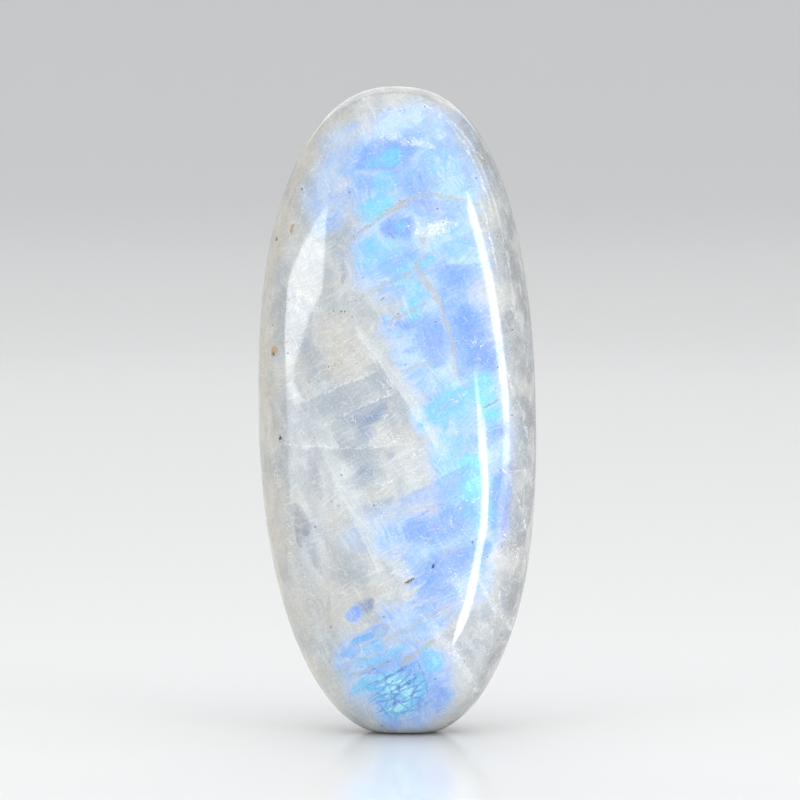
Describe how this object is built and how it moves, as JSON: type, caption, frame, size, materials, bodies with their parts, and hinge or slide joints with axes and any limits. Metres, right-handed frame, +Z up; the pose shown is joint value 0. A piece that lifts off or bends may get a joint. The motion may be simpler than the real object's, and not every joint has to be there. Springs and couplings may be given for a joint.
{
  "type": "polished moonstone",
  "caption": "Elongated oval moonstone, polished and domed on both faces, standing upright on a small flat ground at its lower end.",
  "frame": {"origin": "on the plane of the foot flat, under the middle of the stone's outline", "axes": "+Z up along the stone's long axis, -Y out of the brighter face, +X to the right of someone who looks at that face"},
  "size_m": [0.0214, 0.0136, 0.05],
  "materials": {
    "moonstone": "polished, milky translucent feldspar with blue sheen"
  },
  "bodies": {
    "root": {"moonstone": "moonstone"}
  },
  "joints": []
}
